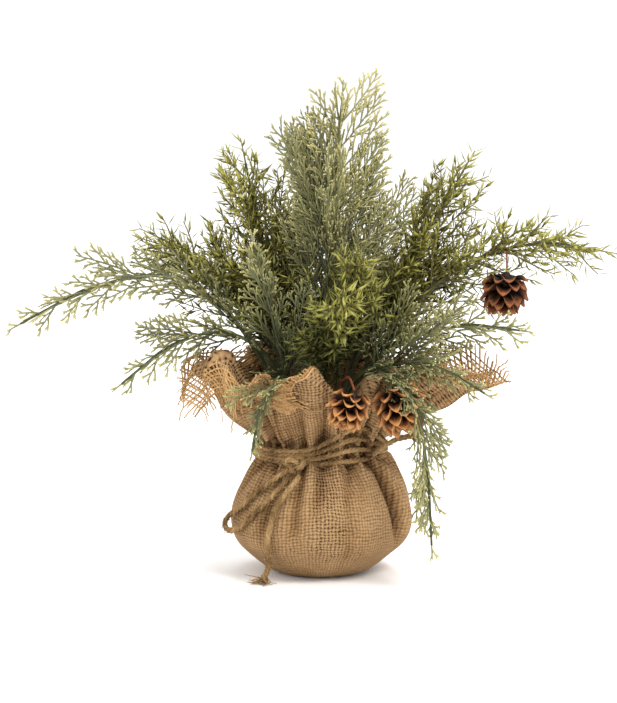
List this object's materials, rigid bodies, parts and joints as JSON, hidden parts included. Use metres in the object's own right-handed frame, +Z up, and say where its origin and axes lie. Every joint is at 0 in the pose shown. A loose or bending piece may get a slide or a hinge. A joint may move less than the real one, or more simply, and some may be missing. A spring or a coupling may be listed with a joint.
{
  "type": "artificial tabletop tree",
  "caption": "Small artificial tree of bendable spruce and cedar picks with pine cones, in a weighted pot wrapped in burlap and tied with jute twine.",
  "frame": {"origin": "centre of the flat underside of the wrapped base", "axes": "+Z up, +X to the right as seen from the front, -Y towards the front"},
  "size_m": [0.4234, 0.2238, 0.347],
  "materials": {
    "pot_plastic": "matte",
    "cement": "matte",
    "floral_foam": "matte",
    "stem_wire": "matte",
    "floral_tape": "matte",
    "burlap": "matte",
    "jute_twine": "matte",
    "spruce_foliage": "satin",
    "cedar_foliage": "matte",
    "pale_foliage": "matte",
    "tan_cone": "matte",
    "dark_cone": "matte",
    "cone_wire": "matte"
  },
  "bodies": {
    "base": {"liner_pot": "pot_plastic", "cement_weight": "cement", "foam_plug": "floral_foam", "stem_stubs": "stem_wire", "floral_tape": "floral_tape", "burlap_wrap": "burlap", "twine_wrap": "jute_twine", "twine_knot": "jute_twine", "twine_loop": "jute_twine", "twine_tail": "jute_twine", "twine_short_tail": "jute_twine"},
    "top_cedar": {"top_cedar_wire": "stem_wire", "top_cedar_foliage": "cedar_foliage"},
    "right_spruce_upper": {"right_spruce_upper_wire": "stem_wire", "right_spruce_upper_foliage": "spruce_foliage"},
    "right_spruce_long": {"right_spruce_long_wire": "stem_wire", "right_spruce_long_foliage": "spruce_foliage"},
    "right_cedar_fan": {"right_cedar_fan_wire": "stem_wire", "right_cedar_fan_foliage": "cedar_foliage"},
    "right_lower_cedar": {"right_lower_cedar_wire": "stem_wire", "right_lower_cedar_foliage": "cedar_foliage"},
    "right_hanging_cedar": {"right_hanging_cedar_wire": "stem_wire", "right_hanging_cedar_foliage": "cedar_foliage"},
    "inner_right_spruce": {"inner_right_spruce_wire": "stem_wire", "inner_right_spruce_foliage": "spruce_foliage"},
    "centre_spruce": {"centre_spruce_wire": "stem_wire", "centre_spruce_foliage": "spruce_foliage"},
    "curled_spray": {"curled_spray_wire": "stem_wire", "curled_spray_foliage": "pale_foliage"},
    "front_cedar": {"front_cedar_wire": "stem_wire", "front_cedar_foliage": "cedar_foliage"},
    "inner_left_cedar": {"inner_left_cedar_wire": "stem_wire", "inner_left_cedar_foliage": "cedar_foliage"},
    "left_lower_cedar": {"left_lower_cedar_wire": "stem_wire", "left_lower_cedar_foliage": "cedar_foliage"},
    "left_drooping_cedar": {"left_drooping_cedar_wire": "stem_wire", "left_drooping_cedar_foliage": "cedar_foliage"},
    "left_spruce_lower": {"left_spruce_lower_wire": "stem_wire", "left_spruce_lower_foliage": "spruce_foliage"},
    "left_spruce_upper": {"left_spruce_upper_wire": "stem_wire", "left_spruce_upper_foliage": "spruce_foliage"},
    "back_left_cedar": {"back_left_cedar_wire": "stem_wire", "back_left_cedar_foliage": "cedar_foliage"},
    "back_spruce": {"back_spruce_wire": "stem_wire", "back_spruce_foliage": "spruce_foliage"},
    "back_cedar": {"back_cedar_wire": "stem_wire", "back_cedar_foliage": "cedar_foliage"},
    "back_right_spruce": {"back_right_spruce_wire": "stem_wire", "back_right_spruce_foliage": "spruce_foliage"},
    "left_cone": {"left_cone_wire": "cone_wire", "left_cone": "tan_cone"},
    "right_cone": {"right_cone_wire": "cone_wire", "right_cone": "tan_cone"},
    "side_cone": {"side_cone_wire": "cone_wire", "side_cone": "dark_cone"}
  },
  "joints": [
    {"name": "top_cedar_bend", "type": "hinge", "parent": "base", "child": "top_cedar", "pos_m": [0, 0, 0.118], "axis": [-0.1219, 0.9925, 0], "range_deg": [-10, 10]},
    {"name": "right_spruce_upper_bend", "type": "hinge", "parent": "base", "child": "right_spruce_upper", "pos_m": [0.01236, 0.00402, 0.11], "axis": [-0.309, 0.9511, 0], "range_deg": [-8, 14]},
    {"name": "right_spruce_long_bend", "type": "hinge", "parent": "base", "child": "right_spruce_long", "pos_m": [0.01895, -0.00133, 0.102], "axis": [0.0698, 0.9976, 0], "range_deg": [-8, 14]},
    {"name": "right_cedar_fan_bend", "type": "hinge", "parent": "base", "child": "right_cedar_fan", "pos_m": [0.01222, -0.00445, 0.11], "axis": [0.342, 0.9397, 0], "range_deg": [-10, 8]},
    {"name": "right_lower_cedar_bend", "type": "hinge", "parent": "base", "child": "right_lower_cedar", "pos_m": [0.01593, -0.01035, 0.102], "axis": [0.5446, 0.8387, 0], "range_deg": [-12, 4]},
    {"name": "right_hanging_cedar_bend", "type": "hinge", "parent": "base", "child": "right_hanging_cedar", "pos_m": [0.00887, -0.00951, 0.11], "axis": [0.7314, 0.682, 0], "range_deg": [-5, 0]},
    {"name": "inner_right_spruce_bend", "type": "hinge", "parent": "base", "child": "inner_right_spruce", "pos_m": [0.00863, -0.01693, 0.102], "axis": [0.891, 0.454, 0], "range_deg": [-6, 14]},
    {"name": "centre_spruce_bend", "type": "hinge", "parent": "base", "child": "centre_spruce", "pos_m": [0.00226, -0.0128, 0.11], "axis": [0.9848, 0.1736, 0], "range_deg": [-10, 14]},
    {"name": "curled_spray_bend", "type": "hinge", "parent": "base", "child": "curled_spray", "pos_m": [-0.0033, -0.01871, 0.102], "axis": [0.9848, -0.1736, 0], "range_deg": [-4, 10]},
    {"name": "front_cedar_bend", "type": "hinge", "parent": "base", "child": "front_cedar", "pos_m": [-0.00689, -0.01102, 0.11], "axis": [0.848, -0.5299, 0], "range_deg": [-14, 0]},
    {"name": "inner_left_cedar_bend", "type": "hinge", "parent": "base", "child": "inner_left_cedar", "pos_m": [-0.01556, -0.0109, 0.102], "axis": [0.5736, -0.8192, 0], "range_deg": [-6, 14]},
    {"name": "left_lower_cedar_bend", "type": "hinge", "parent": "base", "child": "left_lower_cedar", "pos_m": [-0.01236, -0.00402, 0.11], "axis": [0.309, -0.9511, 0], "range_deg": [-12, 5]},
    {"name": "left_drooping_cedar_bend", "type": "hinge", "parent": "base", "child": "left_drooping_cedar", "pos_m": [-0.01899, 0.00066, 0.102], "axis": [-0.0349, -0.9994, 0], "range_deg": [-8, 12]},
    {"name": "left_spruce_lower_bend", "type": "hinge", "parent": "base", "child": "left_spruce_lower", "pos_m": [-0.01243, 0.0038, 0.11], "axis": [-0.2924, -0.9563, 0], "range_deg": [-8, 14]},
    {"name": "left_spruce_upper_bend", "type": "hinge", "parent": "base", "child": "left_spruce_upper", "pos_m": [-0.01575, 0.01062, 0.102], "axis": [-0.5592, -0.829, 0], "range_deg": [-6, 14]},
    {"name": "back_left_cedar_bend", "type": "hinge", "parent": "base", "child": "back_left_cedar", "pos_m": [-0.008, 0.01024, 0.11], "axis": [-0.788, -0.6157, 0], "range_deg": [-10, 12]},
    {"name": "back_spruce_bend", "type": "hinge", "parent": "base", "child": "back_spruce", "pos_m": [-0.0046, 0.01844, 0.102], "axis": [-0.9703, -0.2419, 0], "range_deg": [-8, 14]},
    {"name": "back_cedar_bend", "type": "hinge", "parent": "base", "child": "back_cedar", "pos_m": [0.00226, 0.0128, 0.11], "axis": [-0.9848, 0.1736, 0], "range_deg": [-10, 8]},
    {"name": "back_right_spruce_bend", "type": "hinge", "parent": "base", "child": "back_right_spruce", "pos_m": [0.01117, 0.01537, 0.102], "axis": [-0.809, 0.5878, 0], "range_deg": [-10, 14]},
    {"name": "left_cone_bend", "type": "hinge", "parent": "base", "child": "left_cone", "pos_m": [0.00912, -0.02647, 0.108], "axis": [0.9455, 0.3256, 0], "range_deg": [-6, 0]},
    {"name": "right_cone_swing", "type": "hinge", "parent": "right_hanging_cedar", "child": "right_cone", "pos_m": [0.05052, -0.05417, 0.14911], "axis": [0.6348, -0.6808, -0.3655], "range_deg": [-3, 20]},
    {"name": "side_cone_swing", "type": "hinge", "parent": "right_spruce_long", "child": "side_cone", "pos_m": [0.13035, -0.00912, 0.22928], "axis": [0.0698, 0.9976, 0], "range_deg": [-25, 25]}
  ]
}
